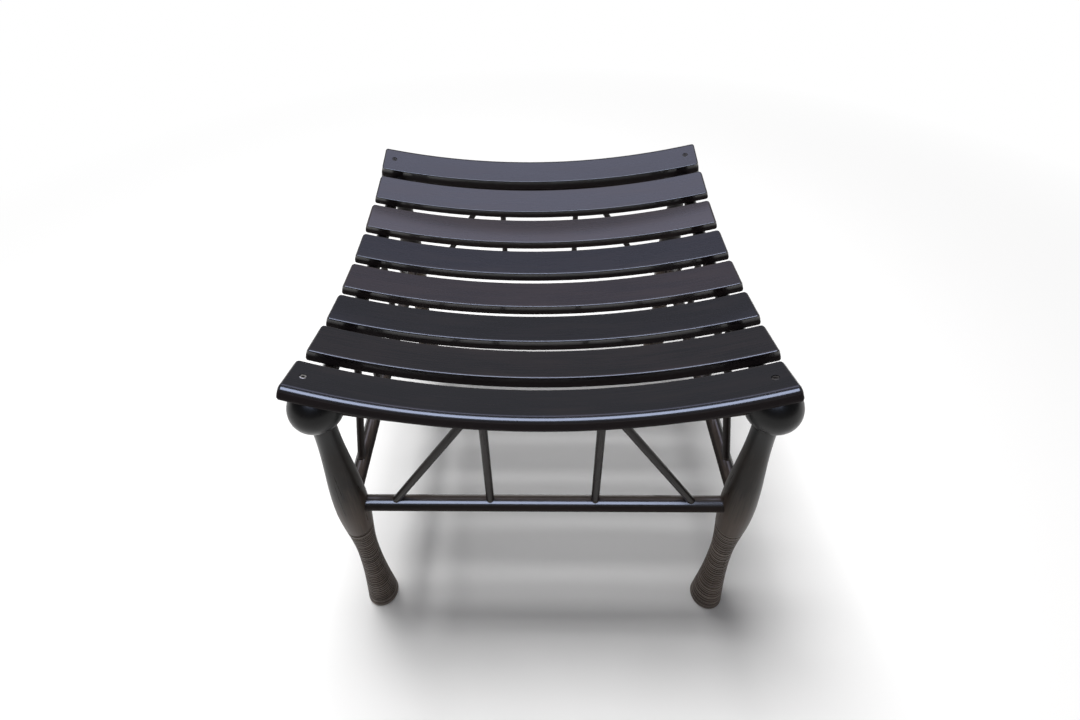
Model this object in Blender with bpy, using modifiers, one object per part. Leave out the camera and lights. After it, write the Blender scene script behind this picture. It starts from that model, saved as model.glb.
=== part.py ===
"""A square stool with a dished seat of slats on four turned legs.

Each slat is bent along its length, and the slats lie side by side on an arc from front to rear, so the
seat is dished both ways. Four dished rails join the balls at the tops of the legs, four stretchers join
the legs at the knee, and on each side two uprights and two braces stand between stretcher and rail.
Metres, +Z up, with the origin on the floor under the middle of the seat. The front faces -Y.
"""

import math

import bmesh
import bpy
from mathutils import Matrix, Vector

# Seat
SEAT_HEIGHT = 0.327  # top of the seat at its lowest point
SLAT_COUNT = 8
SLAT_LENGTH = 0.412  # straight across from end to end of its top
SLAT_WIDTH = 0.0403
SLAT_THICKNESS = 0.0118
END_SLAT_THICKNESS = 0.0152  # the front and rear slats, which rest on the legs
SLAT_RADIUS = 0.7185  # bend of a slat's top along its length
DISH_RADIUS = 0.7045  # arc from front to rear through the slats' tops
SLAT_CORNER = 0.004  # the rear corners, and the inner corners of the end slats
SLAT_ARRIS = 0.001
NOSE_RADIUS = 0.0055  # rounding along the outer edge of the front and rear slats
# Slats that were fixed off centre along X, or askew by an angle about the right end, by number from the front
SLAT_SHIFTS = {1: -0.0042, 2: -0.0012, 7: 0.001}
SLAT_SKEWS = {2: -0.0055}

# Legs
LEG_INSET = 0.0145  # from a slat's end in to the legs' axes
LEG_SPREAD = SLAT_LENGTH / 2 - LEG_INSET  # from the middle of the stool to a leg's axis, both ways
END_SLAT_REACH = 0.0065  # from a leg's axis out to the middle of the end slat's underside
BALL_RADIUS = 0.024
BALL_SEAT = 0.0135  # from the ball's centre up to the flat that the end slat rests on
NECK_RADIUS = 0.0105
NECK_LENGTH = 0.011  # straight run under the ball
KNEE_RADIUS = 0.0166  # at the stretchers
WAIST_RADIUS = 0.0112
WAIST_HEIGHT = 0.1075
FOOT_RADIUS = 0.0175
FOOT_EDGE = 0.0015

# Rails, stretchers and struts
RAIL_RADIUS = 0.0074
RAIL_GAP = 0.0018  # from the end slats down to the front and rear rails
STRETCHER_RADIUS = 0.0078
STRETCHER_HEIGHT = 0.1963
STRUT_RADIUS = 0.0039
STRUT_TENON = 0.005  # how deep a strut enters a stretcher or a rail
# Places along a side, as shares of the way from its middle to a leg's axis
UPRIGHT_SHARE = 0.27
BRACE_FOOT_SHARE = 0.779  # on the stretcher's axis
BRACE_HEAD_SHARE = 0.342  # on the rail's axis
SOCKET_WALL = 0.004  # wood between the ends of two rods that meet in a leg

# Screws
SCREW_HEAD_RADIUS = 0.003
SCREW_SHANK_RADIUS = 0.0016
SCREW_HEAD_DEPTH = 0.0018
SCREW_POINT = 0.003
SCREW_RECESS = 0.0003  # how far a head lies below the wood
SCREW_SHIFT = 0.007  # from a slat's centre line, outwards, to clear the braces
SCREW_OUTSET = 0.0011  # from the legs' axes out to the screws of an end slat that lies on centre
SLAT_BITE = 0.0055  # how deep a screw goes up into an inner slat
BALL_BITE = 0.014  # how deep a screw goes down into a ball

# Clearance between pieces that fit together
FIT = 0.0003

# Fineness of the round and bent shapes
LEG_SIDES = 20
ROD_SIDES = 16
STRUT_SIDES = 12
SCREW_SIDES = 10
BALL_STEPS = 8
LEG_STEPS = 6
SLAT_STEPS = 16
RAIL_STEPS = 16
NOSE_STEPS = 3
CORNER_STEPS = 2

SMOOTH_ANGLE = math.radians(40)
MERGE = 1e-6
OVERCUT = 0.003  # how far a cutter stands out of the wood

# Each side, its quarter turn from the front, and what lies at its two ends
SIDES = (
    ("front", 0, ("left", "right")),
    ("right", 1, ("front", "rear")),
    ("rear", 2, ("right", "left")),
    ("left", 3, ("rear", "front")),
)
CORNERS = ("front_left", "front_right", "rear_right", "rear_left")


def clear_scene():
    for old in list(bpy.data.objects):
        bpy.data.objects.remove(old, do_unlink=True)


def new_collection(name):
    collection = bpy.data.collections.new(name)
    bpy.context.scene.collection.children.link(collection)
    return collection


def material(name, colour, roughness, metallic=0.0):
    made = bpy.data.materials.new(name)
    made.use_nodes = True
    made.diffuse_color = (*colour, 1.0)
    shader = made.node_tree.nodes["Principled BSDF"]
    shader.inputs["Base Color"].default_value = (*colour, 1.0)
    shader.inputs["Roughness"].default_value = roughness
    shader.inputs["Metallic"].default_value = metallic
    return made


def add_piece(name, mesh, finish):
    """A visible sub-part that holds the mesh."""
    piece = bpy.data.objects.new(name, mesh)
    piece.data.materials.clear()
    piece.data.materials.append(finish)
    PARTS.objects.link(piece)
    return piece


def add_cutter(name, mesh):
    """A hidden shape that is taken out of other pieces."""
    cutter = bpy.data.objects.new(name, mesh)
    cutter.hide_render = True
    cutter.display_type = "WIRE"
    CUTTERS.objects.link(cutter)
    return cutter


def cut(piece, cutter):
    boolean = piece.modifiers.new(cutter.name, "BOOLEAN")
    boolean.operation = "DIFFERENCE"
    boolean.object = cutter


def mesh_from(builder, name):
    """A shaded mesh from a bmesh, which is freed."""
    mesh = bpy.data.meshes.new(name)
    builder.to_mesh(mesh)
    builder.free()
    mesh.shade_smooth()
    mesh.set_sharp_from_angle(angle=SMOOTH_ANGLE)
    return mesh


def turned(obj, sides):
    """Turns the object's profile once round its Z axis."""
    screw = obj.modifiers.new("turning", "SCREW")
    screw.steps = sides
    screw.render_steps = sides
    screw.use_merge_vertices = True
    screw.merge_threshold = MERGE
    screw.use_smooth_shade = True


def profile_mesh(name, outline):
    """An open outline of (radius, height) points, from top to bottom, ready to be turned."""
    mesh = bpy.data.meshes.new(name)
    points = [(radius, 0.0, height) for radius, height in outline]
    mesh.from_pydata(points, [(k, k + 1) for k in range(len(points) - 1)], [])
    return mesh


def facet_turn(sides):
    """A turn by a quarter of a facet, so that the edges of rods and legs that cross don't coincide."""
    return Matrix.Rotation(math.pi / 2 / sides, 4, "Z")


def straight_rod_mesh(name, length, radius, sides):
    builder = bmesh.new()
    bmesh.ops.create_cone(
        builder,
        cap_ends=True,
        segments=sides,
        radius1=radius,
        radius2=radius,
        depth=length,
        matrix=facet_turn(sides),
    )
    return mesh_from(builder, name)


def bent_rod_mesh(name, points, radius):
    """A closed round rod along the points, made as a curve and then turned into a mesh."""
    curve = bpy.data.curves.new(name, "CURVE")
    curve.dimensions = "3D"
    curve.bevel_depth = radius
    curve.bevel_resolution = (ROD_SIDES - 4) // 2  # a round bevel has four sides and two more a step
    curve.use_fill_caps = True
    spline = curve.splines.new("POLY")
    spline.points.add(len(points) - 1)
    for place, point in zip(spline.points, points):
        place.co = (*point, 1.0)
    guide = bpy.data.objects.new(name, curve)
    CUTTERS.objects.link(guide)
    bpy.context.view_layer.update()
    graph = bpy.context.evaluated_depsgraph_get()
    swept = bpy.data.meshes.new_from_object(guide.evaluated_get(graph))
    bpy.data.objects.remove(guide)
    builder = bmesh.new()
    builder.from_mesh(swept)
    bpy.data.meshes.remove(swept)
    bmesh.ops.remove_doubles(builder, verts=builder.verts, dist=MERGE)
    bmesh.ops.recalc_face_normals(builder, faces=builder.faces)
    return mesh_from(builder, name)


def slat_bow(across, depth):
    """Height of a slat's surface over its middle at a distance along it, at a depth under its top."""
    return SLAT_RADIUS - math.sqrt((SLAT_RADIUS + depth) ** 2 - across**2)


def slat_slope(across, depth):
    """Angle of that surface along the slat."""
    return math.asin(across / (SLAT_RADIUS + depth))


END_ANGLE = math.asin((LEG_SPREAD + END_SLAT_REACH) / (DISH_RADIUS + END_SLAT_THICKNESS))


def slat_angle(number):
    """Tilt of a slat, counted from 0 at the front. The end slats lie over the legs."""
    return END_ANGLE * (2 * number / (SLAT_COUNT - 1) - 1.0)


def slat_frame(angle):
    """World placing of a slat's top middle: X along the slat, Y across it and Z out of its top."""
    middle = Vector(
        (0.0, DISH_RADIUS * math.sin(angle), SEAT_HEIGHT + DISH_RADIUS * (1.0 - math.cos(angle)))
    )
    return Matrix.Translation(middle) @ Matrix.Rotation(angle, 4, "X")


def slat_place(number):
    """World placing of a slat, counted from 1 at the front, which may slide along its bend and lie askew."""
    bend_axis = Matrix.Translation((0.0, 0.0, SLAT_RADIUS))
    slide = Matrix.Rotation(-SLAT_SHIFTS.get(number, 0.0) / SLAT_RADIUS, 4, "Y")
    right_end = Matrix.Translation((SLAT_LENGTH / 2, 0.0, 0.0))
    skew = right_end @ Matrix.Rotation(SLAT_SKEWS.get(number, 0.0), 4, "Z") @ right_end.inverted()
    return slat_frame(slat_angle(number - 1)) @ bend_axis @ slide @ bend_axis.inverted() @ skew


def end_rail_height(along):
    """Height of the front and rear rails' axis, which runs just under the end slats."""
    bow = slat_bow(along, END_SLAT_THICKNESS)
    slope = math.tan(slat_slope(along, END_SLAT_THICKNESS)) / math.cos(END_ANGLE)
    middle = slat_frame(END_ANGLE).translation
    under = middle.z + (LEG_SPREAD - middle.y) * math.tan(END_ANGLE) + bow / math.cos(END_ANGLE)
    steepness = math.sqrt(1.0 + slope**2 + math.tan(END_ANGLE) ** 2)
    return under - (RAIL_RADIUS + RAIL_GAP) * steepness


SIDE_SLOPE = slat_slope(LEG_SPREAD, SLAT_THICKNESS)
SLAT_UNDER_ARC = DISH_RADIUS - slat_bow(LEG_SPREAD, SLAT_THICKNESS)
# Flat slats lie across the dished rail, so they bear on it with their long edges.
SIDE_RAIL_ARC = math.hypot(SLAT_UNDER_ARC, SLAT_WIDTH / 2) + (RAIL_RADIUS + FIT) / math.cos(SIDE_SLOPE)


def side_rail_height(along):
    """Height of the side rails' axis, an arc that carries the inner slats."""
    return SEAT_HEIGHT + DISH_RADIUS - math.sqrt(SIDE_RAIL_ARC**2 - along**2)


def slat_surface(angle, across, depth):
    """World placing of a point on a slat at a depth under its top, with Z square to the surface there."""
    point = Matrix.Translation((across, 0.0, slat_bow(across, depth)))
    return slat_frame(angle) @ point @ Matrix.Rotation(-slat_slope(across, depth), 4, "Y")


def ball_centre(corner):
    """Centre of a leg's ball, and the placing of the flat on it that meets the end slat's underside."""
    end_angle = math.copysign(END_ANGLE, corner.y)
    seat = slat_surface(end_angle, corner.x, END_SLAT_THICKNESS)
    normal = seat.col[2].to_3d()
    level = normal.dot(seat.translation) - BALL_SEAT - FIT
    height = (level - normal.x * corner.x - normal.y * corner.y) / normal.z
    return Vector((corner.x, corner.y, height)), seat


def eased(start, end, share):
    return start + (end - start) * (1.0 - math.cos(math.pi * share)) / 2.0


def leg_outline(ball_height):
    """A leg's outline from the top of its ball down: ball, neck, knee, waist and flared foot."""
    ball_end = math.pi - math.asin(NECK_RADIUS / BALL_RADIUS)
    outline = [(0.0, ball_height + BALL_RADIUS)]
    for k in range(1, BALL_STEPS + 1):
        angle = ball_end * k / BALL_STEPS
        outline.append((BALL_RADIUS * math.sin(angle), ball_height + BALL_RADIUS * math.cos(angle)))
    neck_height = outline[-1][1] - NECK_LENGTH
    outline.append((NECK_RADIUS, neck_height))
    stations = (
        (NECK_RADIUS, neck_height),
        (KNEE_RADIUS, STRETCHER_HEIGHT),
        (WAIST_RADIUS, WAIST_HEIGHT),
    )
    for (radius_a, height_a), (radius_b, height_b) in zip(stations, stations[1:]):
        for k in range(1, LEG_STEPS + 1):
            share = k / LEG_STEPS
            outline.append((eased(radius_a, radius_b, share), height_a + (height_b - height_a) * share))
    for k in range(1, LEG_STEPS + 1):
        share = k / LEG_STEPS
        flare = 1.0 - math.cos(math.pi / 2 * share)
        outline.append(
            (
                WAIST_RADIUS + (FOOT_RADIUS - WAIST_RADIUS) * flare,
                WAIST_HEIGHT + (FOOT_EDGE - WAIST_HEIGHT) * share,
            )
        )
    outline.append((FOOT_RADIUS - FOOT_EDGE, 0.0))
    outline.append((0.0, 0.0))
    return outline


def screw_outline(length, grown=0.0, stand_out=0.0):
    """A countersunk screw pointing down from its head's face at height 0; a cutter is grown all round."""
    head = SCREW_HEAD_RADIUS + grown
    shank = SCREW_SHANK_RADIUS + grown
    return [
        (0.0, stand_out),
        (head, stand_out),
        (head, -SCREW_RECESS - grown),
        (shank, -SCREW_HEAD_DEPTH - grown),
        (shank, SCREW_POINT - length),
        (0.0, -length - grown),
    ]


def slat_mesh(name, thickness, nose):
    """A board with two rounded corners at +Y, and perhaps a rounded edge at -Y, bent along its length."""
    builder = bmesh.new()
    placed = Matrix.Translation((0.0, 0.0, -thickness / 2))
    size = Matrix.Diagonal((SLAT_LENGTH, SLAT_WIDTH, thickness, 1.0))
    bmesh.ops.create_cube(builder, size=1.0, matrix=placed @ size)

    def round_edges(axis, side, radius, steps):
        edges = []
        for edge in builder.edges:
            start, end = (vert.co for vert in edge.verts)
            runs_along = abs((end - start).normalized()[axis]) > 0.5
            if runs_along and side * start.y > 0 and side * end.y > 0:
                edges.append(edge)
        bmesh.ops.bevel(
            builder, geom=edges, offset=radius, segments=steps, profile=0.5, affect="EDGES"
        )

    round_edges(axis=2, side=1, radius=SLAT_CORNER, steps=CORNER_STEPS)
    if nose:
        round_edges(axis=0, side=-1, radius=NOSE_RADIUS, steps=NOSE_STEPS)
    straight = SLAT_LENGTH - 2 * SLAT_CORNER
    for k in range(SLAT_STEPS + 1):
        bmesh.ops.bisect_plane(
            builder,
            geom=builder.verts[:] + builder.edges[:] + builder.faces[:],
            dist=MERGE,
            plane_co=(straight * (k / SLAT_STEPS - 0.5), 0.0, 0.0),
            plane_no=(1.0, 0.0, 0.0),
        )
    for vert in builder.verts:
        radius = SLAT_RADIUS - vert.co.z
        sine = vert.co.x / SLAT_RADIUS
        vert.co.x = radius * sine
        vert.co.z = SLAT_RADIUS - radius * math.sqrt(1.0 - sine**2)
    return mesh_from(builder, name)


def add_rod(name, mesh, socket_mesh, finish, placing):
    """A rod and the socket that other pieces get for it."""
    rod = add_piece(name, mesh, finish)
    socket = add_cutter(name + "_socket", socket_mesh)
    for made in (rod, socket):
        made.matrix_world = placing
    return rod, socket


def add_strut(name, foot, head, turn):
    """A strut between a point on the stretcher's axis and one on the rail's axis, tenoned into both."""
    along = (head - foot).normalized()
    start = foot + along * (STRETCHER_RADIUS - STRUT_TENON)
    end = head - along * (RAIL_RADIUS - STRUT_TENON)
    length = (end - start).length
    leaning = along.to_track_quat("Z", "Y").to_matrix().to_4x4()
    placing = turn @ Matrix.Translation((start + end) / 2) @ leaning
    return add_rod(
        name,
        straight_rod_mesh(name, length, STRUT_RADIUS, STRUT_SIDES),
        straight_rod_mesh(name + "_socket", length + 2 * FIT, STRUT_RADIUS + FIT, STRUT_SIDES),
        TURNED_WOOD,
        placing,
    )


def add_rail(name, height, turn):
    """A dished rail in the plane of two legs, with its ends in their balls."""
    reach = LEG_SPREAD - RAIL_RADIUS - SOCKET_WALL

    def points(end):
        steps = [end * (2 * k / RAIL_STEPS - 1.0) for k in range(RAIL_STEPS + 1)]
        return [(along, -LEG_SPREAD, height(along)) for along in steps]

    return add_rod(
        name,
        bent_rod_mesh(name, points(reach), RAIL_RADIUS),
        bent_rod_mesh(name + "_socket", points(reach + FIT), RAIL_RADIUS + FIT),
        TURNED_WOOD,
        turn,
    )


def add_stretcher(name, turn):
    """A straight round stretcher with its ends in two legs."""
    length = 2 * (LEG_SPREAD - STRETCHER_RADIUS - SOCKET_WALL)
    lying = Matrix.Translation((0.0, -LEG_SPREAD, STRETCHER_HEIGHT)) @ Matrix.Rotation(math.pi / 2, 4, "Y")
    return add_rod(
        name,
        straight_rod_mesh(name, length, STRETCHER_RADIUS, ROD_SIDES),
        straight_rod_mesh(name + "_socket", length + 2 * FIT, STRETCHER_RADIUS + FIT, ROD_SIDES),
        TURNED_WOOD,
        turn @ lying,
    )


def add_side(side, quarter, ends):
    """One side of the frame: rail, stretcher, and two uprights and two braces between them."""
    turn = Matrix.Rotation(quarter * math.pi / 2, 4, "Z")
    height = end_rail_height if side in ("front", "rear") else side_rail_height
    rail, rail_socket = add_rail(f"seat_rail_{side}", height, turn)
    stretcher, stretcher_socket = add_stretcher(f"stretcher_{side}", turn)
    for end, sign in zip(ends, (-1.0, 1.0)):
        for kind, foot, head in (
            ("upright", UPRIGHT_SHARE * LEG_SPREAD, UPRIGHT_SHARE * LEG_SPREAD),
            ("brace", BRACE_FOOT_SHARE * LEG_SPREAD, BRACE_HEAD_SHARE * LEG_SPREAD),
        ):
            _, socket = add_strut(
                f"{kind}_{side}_{end}",
                Vector((sign * foot, -LEG_SPREAD, STRETCHER_HEIGHT)),
                Vector((sign * head, -LEG_SPREAD, height(head))),
                turn,
            )
            cut(stretcher, socket)
            cut(rail, socket)
    return rail, (rail_socket, stretcher_socket)


def add_screw(name, length, placing):
    """A countersunk screw with the hole that it needs."""
    screw = add_piece(name, profile_mesh(name, screw_outline(length)), STEEL)
    hole = add_cutter(name + "_hole", profile_mesh(name + "_hole", screw_outline(length, FIT, OVERCUT)))
    for made in (screw, hole):
        made.matrix_world = placing
        turned(made, SCREW_SIDES)
    return hole


def add_slats():
    """The slats from front to rear. The first and last have a rounded outer edge."""
    inner = slat_mesh("inner_slat", SLAT_THICKNESS, nose=False)
    outer = slat_mesh("end_slat", END_SLAT_THICKNESS, nose=True)
    slats = []
    for number in range(1, SLAT_COUNT + 1):
        slat = add_piece(f"slat_{number}", outer if number in (1, SLAT_COUNT) else inner, SEAT_WOOD)
        turn = math.pi if number == SLAT_COUNT else 0.0
        slat.matrix_world = slat_place(number) @ Matrix.Rotation(turn, 4, "Z")
        arris = slat.modifiers.new("arris", "BEVEL")
        arris.width = SLAT_ARRIS
        arris.segments = 1
        arris.limit_method = "ANGLE"
        arris.angle_limit = SMOOTH_ANGLE
        slats.append(slat)
    return slats


def add_slat_seat(name, width, placing):
    """A cutter for the flat on which an end slat rests."""
    reach = 2 * BALL_RADIUS
    builder = bmesh.new()
    above = Matrix.Translation((0.0, 0.0, reach / 2 - FIT))
    size = Matrix.Diagonal((2 * reach, width, reach, 1.0))
    bmesh.ops.create_cube(builder, size=1.0, matrix=above @ size)
    seat = add_cutter(name, mesh_from(builder, name))
    seat.matrix_world = placing
    return seat


def add_leg(name, corner, end_slat, side_rail, sockets):
    """A turned leg with its sockets, its flat top, and the screw that holds the end slat down on it."""
    centre, seat = ball_centre(corner)
    leg = add_piece(f"leg_{name}", profile_mesh(f"leg_{name}", leg_outline(centre.z)), TURNED_WOOD)
    leg.matrix_world = Matrix.Translation(corner) @ facet_turn(LEG_SIDES)
    turned(leg, LEG_SIDES)

    seat_cut = add_slat_seat(f"slat_seat_{name}", 4 * BALL_RADIUS, seat)
    cut(side_rail, add_slat_seat(f"rail_seat_{name}", SLAT_WIDTH + 2 * FIT, seat))

    shift = SLAT_SHIFTS.get(1 if corner.y < 0 else SLAT_COUNT, 0.0)
    across = shift + math.copysign(LEG_SPREAD + SCREW_OUTSET, corner.x)
    top = slat_surface(math.copysign(END_ANGLE, corner.y), across, 0.0)
    length = END_SLAT_THICKNESS + FIT + BALL_BITE - SCREW_RECESS
    hole = add_screw(f"end_slat_screw_{name}", length, top @ Matrix.Translation((0.0, 0.0, -SCREW_RECESS)))
    cut(end_slat, hole)
    for cutter in (*sockets, seat_cut, hole):
        cut(leg, cutter)


def add_slat_screws(number, slat, rails):
    """Screws up through both side rails into an inner slat."""
    angle = slat_angle(number - 1)
    shift = math.copysign(SCREW_SHIFT / DISH_RADIUS, angle)
    foot = SIDE_RAIL_ARC + RAIL_RADIUS - SCREW_RECESS
    length = foot - SLAT_UNDER_ARC + SLAT_BITE
    for side, sign in (("left", -1.0), ("right", 1.0)):
        arc_centre = Matrix.Translation((sign * LEG_SPREAD, 0.0, SEAT_HEIGHT + DISH_RADIUS))
        outwards = Matrix.Rotation(angle + shift, 4, "X") @ Matrix.Rotation(math.pi, 4, "X")
        placing = arc_centre @ outwards @ Matrix.Translation((0.0, 0.0, foot))
        hole = add_screw(f"slat_screw_{number}_{side}", length, placing)
        cut(rails[side], hole)
        cut(slat, hole)


clear_scene()
PARTS = new_collection("slatted_stool")
CUTTERS = new_collection("cutters")
SEAT_WOOD = material("ebonised_seat_wood", colour=(0.020, 0.018, 0.019), roughness=0.30)
TURNED_WOOD = material("ebonised_turned_wood", colour=(0.030, 0.025, 0.022), roughness=0.42)
STEEL = material("dark_steel", colour=(0.16, 0.15, 0.14), roughness=0.45, metallic=1.0)

side_rails = {}
side_sockets = {}
for side_name, quarter_turn, side_ends in SIDES:
    side_rails[side_name], side_sockets[side_name] = add_side(side_name, quarter_turn, side_ends)

seat_slats = add_slats()
for slat_number, slat_piece in enumerate(seat_slats[1:-1], start=2):
    add_slat_screws(slat_number, slat_piece, side_rails)

end_slats = {"front": seat_slats[0], "rear": seat_slats[-1]}
for corner_number, corner_name in enumerate(CORNERS):
    end_name, flank_name = corner_name.split("_")
    spread = Matrix.Rotation(corner_number * math.pi / 2, 3, "Z") @ Vector((-LEG_SPREAD, -LEG_SPREAD, 0.0))
    add_leg(
        corner_name,
        spread,
        end_slats[end_name],
        side_rails[flank_name],
        (*side_sockets[end_name], *side_sockets[flank_name]),
    )
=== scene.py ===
import math

import bpy
import numpy as np
from mathutils import Matrix


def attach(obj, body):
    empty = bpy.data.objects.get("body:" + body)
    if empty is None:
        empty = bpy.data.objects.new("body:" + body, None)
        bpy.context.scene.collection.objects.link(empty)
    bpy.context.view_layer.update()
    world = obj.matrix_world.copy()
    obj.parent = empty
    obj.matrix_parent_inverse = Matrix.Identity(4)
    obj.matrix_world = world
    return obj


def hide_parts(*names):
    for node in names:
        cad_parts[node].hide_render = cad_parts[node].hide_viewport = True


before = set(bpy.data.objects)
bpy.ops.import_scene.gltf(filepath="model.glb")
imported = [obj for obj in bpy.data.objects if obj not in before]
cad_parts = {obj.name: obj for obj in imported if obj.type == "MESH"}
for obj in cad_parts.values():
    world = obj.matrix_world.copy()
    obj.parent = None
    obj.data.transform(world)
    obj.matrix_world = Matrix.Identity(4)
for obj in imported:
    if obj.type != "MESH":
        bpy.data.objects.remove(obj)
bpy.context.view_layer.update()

# ---- Legs ----
# Four legs, each turned from one piece of close-grained wood, stained black and dulled with age: a ball,
# a thin neck, a swollen knee, a waist and a flared foot. Fine rings are cut round the lower half, and
# a notch across the top of the ball takes the end slat.
LEG_SPREAD = 0.1915
BALL_RADIUS = 0.024
NECK_RADIUS = 0.0105
NECK_LENGTH = 0.011
KNEE_RADIUS = 0.0166
KNEE_HEIGHT = 0.1963
WAIST_RADIUS = 0.0112
WAIST_HEIGHT = 0.1075
FOOT_RADIUS = 0.0175
FOOT_EDGE = 0.0015
FIT = 0.0003
SHARP_ANGLE = math.radians(38)
CORNERS = (("front_left", -1, -1), ("front_right", 1, -1), ("rear_right", 1, 1), ("rear_left", -1, 1))
# Points round a leg, and its rows of points: on the ball, the neck, the knee, the rings and the foot's edge.
# The rows of the rings start at a height of their own, and those on the sole are shares of its radius.
LEG_SIDES = 72
BALL_ROWS, NECK_ROWS, KNEE_ROWS, RING_ROWS, FOOT_ROWS = 42, 5, 70, 560, 5
RING_ROWS_TOP = 0.16
SOLE_ROWS = np.array([0.8, 0.4])
# The rings go from under the knee to the floor; a ring's depth, half width and rubbed upper edge follow
RING_TOP, RING_FOOT = 0.157, 0.005
RING_COUNT = 41
RING_DEPTH = 0.0009
RING_WIDTH = 0.0006
RING_EDGE = 0.0011
# How far a ring strays from even spacing, and the least and most that it is cut in and rubbed
RING_STRAY = 0.0012
RING_CUT = (0.5, 1)
RING_RUB = (0.25, 1)
# The rings of the right front leg are rubbed brightest
LEG_RUB = {"front_right": 2.0}
LEG_STAIN = (0.0046, 0.0042, 0.0041)
LEG_BROWN = (0.100, 0.072, 0.055)
LEG_WORN = (0.46, 0.40, 0.35)
# Where the brown comes through and where the finish is dull: how much, under which height, and over what
# length it fades in
BROWN_NECK = (0.35, 0.31, 0.02)
BROWN_KNEE = (0.9, 0.245, 0.06)
DULL_SHAFT = (0.4, 0.315, 0.03)
# How much the stain and a cut take from the brown, and how far up a foot is scuffed
STAIN_DARKNESS = 0.45
CUT_DARKNESS = 1.1
FOOT_SCUFF = 0.004

# The end slats decide where the tops of the legs lie, so their bend and tilt come first.
SEAT_HEIGHT = 0.327
SLAT_LENGTH = 0.412
SLAT_WIDTH = 0.0403
SLAT_THICKNESS = 0.0118
END_SLAT_THICKNESS = 0.0152
SLAT_RADIUS = 0.7185
DISH_RADIUS = 0.7045
END_SLAT_REACH = 0.0065
BALL_SEAT = 0.0135
END_ANGLE = math.asin((LEG_SPREAD + END_SLAT_REACH) / (DISH_RADIUS + END_SLAT_THICKNESS))

# Patterns of all the stool's wood: how often they repeat in a metre along the grain and across it, and
# their detail
STREAKS = (16, 620, 3)
PORES = (260, 3600, 2)
PATCHES = (14, 75, 2)
NOISE_MIDDLE = 0.5
# Pale specks: how many could lie in a metre, how large and sharp they are, the patches that have them and
# how sharp those are, and how worn a speck looks
SPECK_CELLS, SPECK_SIZE, SPECK_SHARPNESS = 30.0, 0.026, 120
SPECK_PATCH, SPECK_PATCH_SHARPNESS = 0.55, 25
SPECK_WEAR = 0.5
# What the patterns add to wear, roughness and relief, and how high the relief is
WEAR_BASE, WEAR_PORES = 0.45, 0.8
ROUGH_STREAKS, ROUGH_PATCHES, ROUGH_WEAR = 0.10, 0.12, 0.2
RELIEF_STREAKS, RELIEF_PORES, RELIEF_PATCHES = 0.4, 0.25, 0.8
RELIEF_HEIGHT = 0.0006
LACQUER_ROUGHNESS = 0.08
# Wood without lacquer: a base and a share of the lacquered wood's tone and roughness, and its lustre
BARE_TONE_BASE, BARE_TONE = 0.4, 0.5
BARE_ROUGH_BASE, BARE_ROUGH = 0.4, 0.6
BARE_LUSTRE = 1.16
# Each piece is cut from its own place in a block of wood of this size
WOOD_BLOCK = 3
chance = np.random.default_rng(8)


def slat_frame(angle):
    """Placing of a slat's top middle on the arc of the dish: X along the slat and Z out of its top."""
    lift = SEAT_HEIGHT + DISH_RADIUS * (1 - math.cos(angle))
    return Matrix.Translation((0, DISH_RADIUS * math.sin(angle), lift)) @ Matrix.Rotation(angle, 4, "X")


def slat_surface(angle, across, depth):
    """Placing of a point on a slat's bend at a depth under its top, with Z square to the surface."""
    bow = SLAT_RADIUS - math.sqrt((SLAT_RADIUS + depth) ** 2 - across**2)
    slope = math.asin(across / (SLAT_RADIUS + depth))
    return slat_frame(angle) @ Matrix.Translation((across, 0, bow)) @ Matrix.Rotation(-slope, 4, "Y")


def slat_under(corner_x, corner_y):
    """Placing of the end slat's underside over a leg."""
    return slat_surface(math.copysign(END_ANGLE, corner_y), corner_x, END_SLAT_THICKNESS)


def placed(points, matrix):
    """Points [..., xyz] carried by a placing."""
    matrix = np.array(matrix)
    return points @ matrix[:3, :3].T + matrix[:3, 3]


def round_turn(sides):
    """Angles of points that are spaced evenly round a circle."""
    return np.arange(sides) / sides * 2 * math.pi


def square_ring(half_x, half_y):
    """The four corners of a rectangle about the origin."""
    return np.array([[-1, -1, 0], [1, -1, 0], [1, 1, 0], [-1, 1, 0]]) * np.array([half_x, half_y, 1.0])


def block_rings(half_x, half_y, low, high):
    """A square block between two levels, as two rings of four points."""
    return square_ring(half_x, half_y) + np.array([[[0.0, 0.0, low]], [[0.0, 0.0, high]]])


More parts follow.
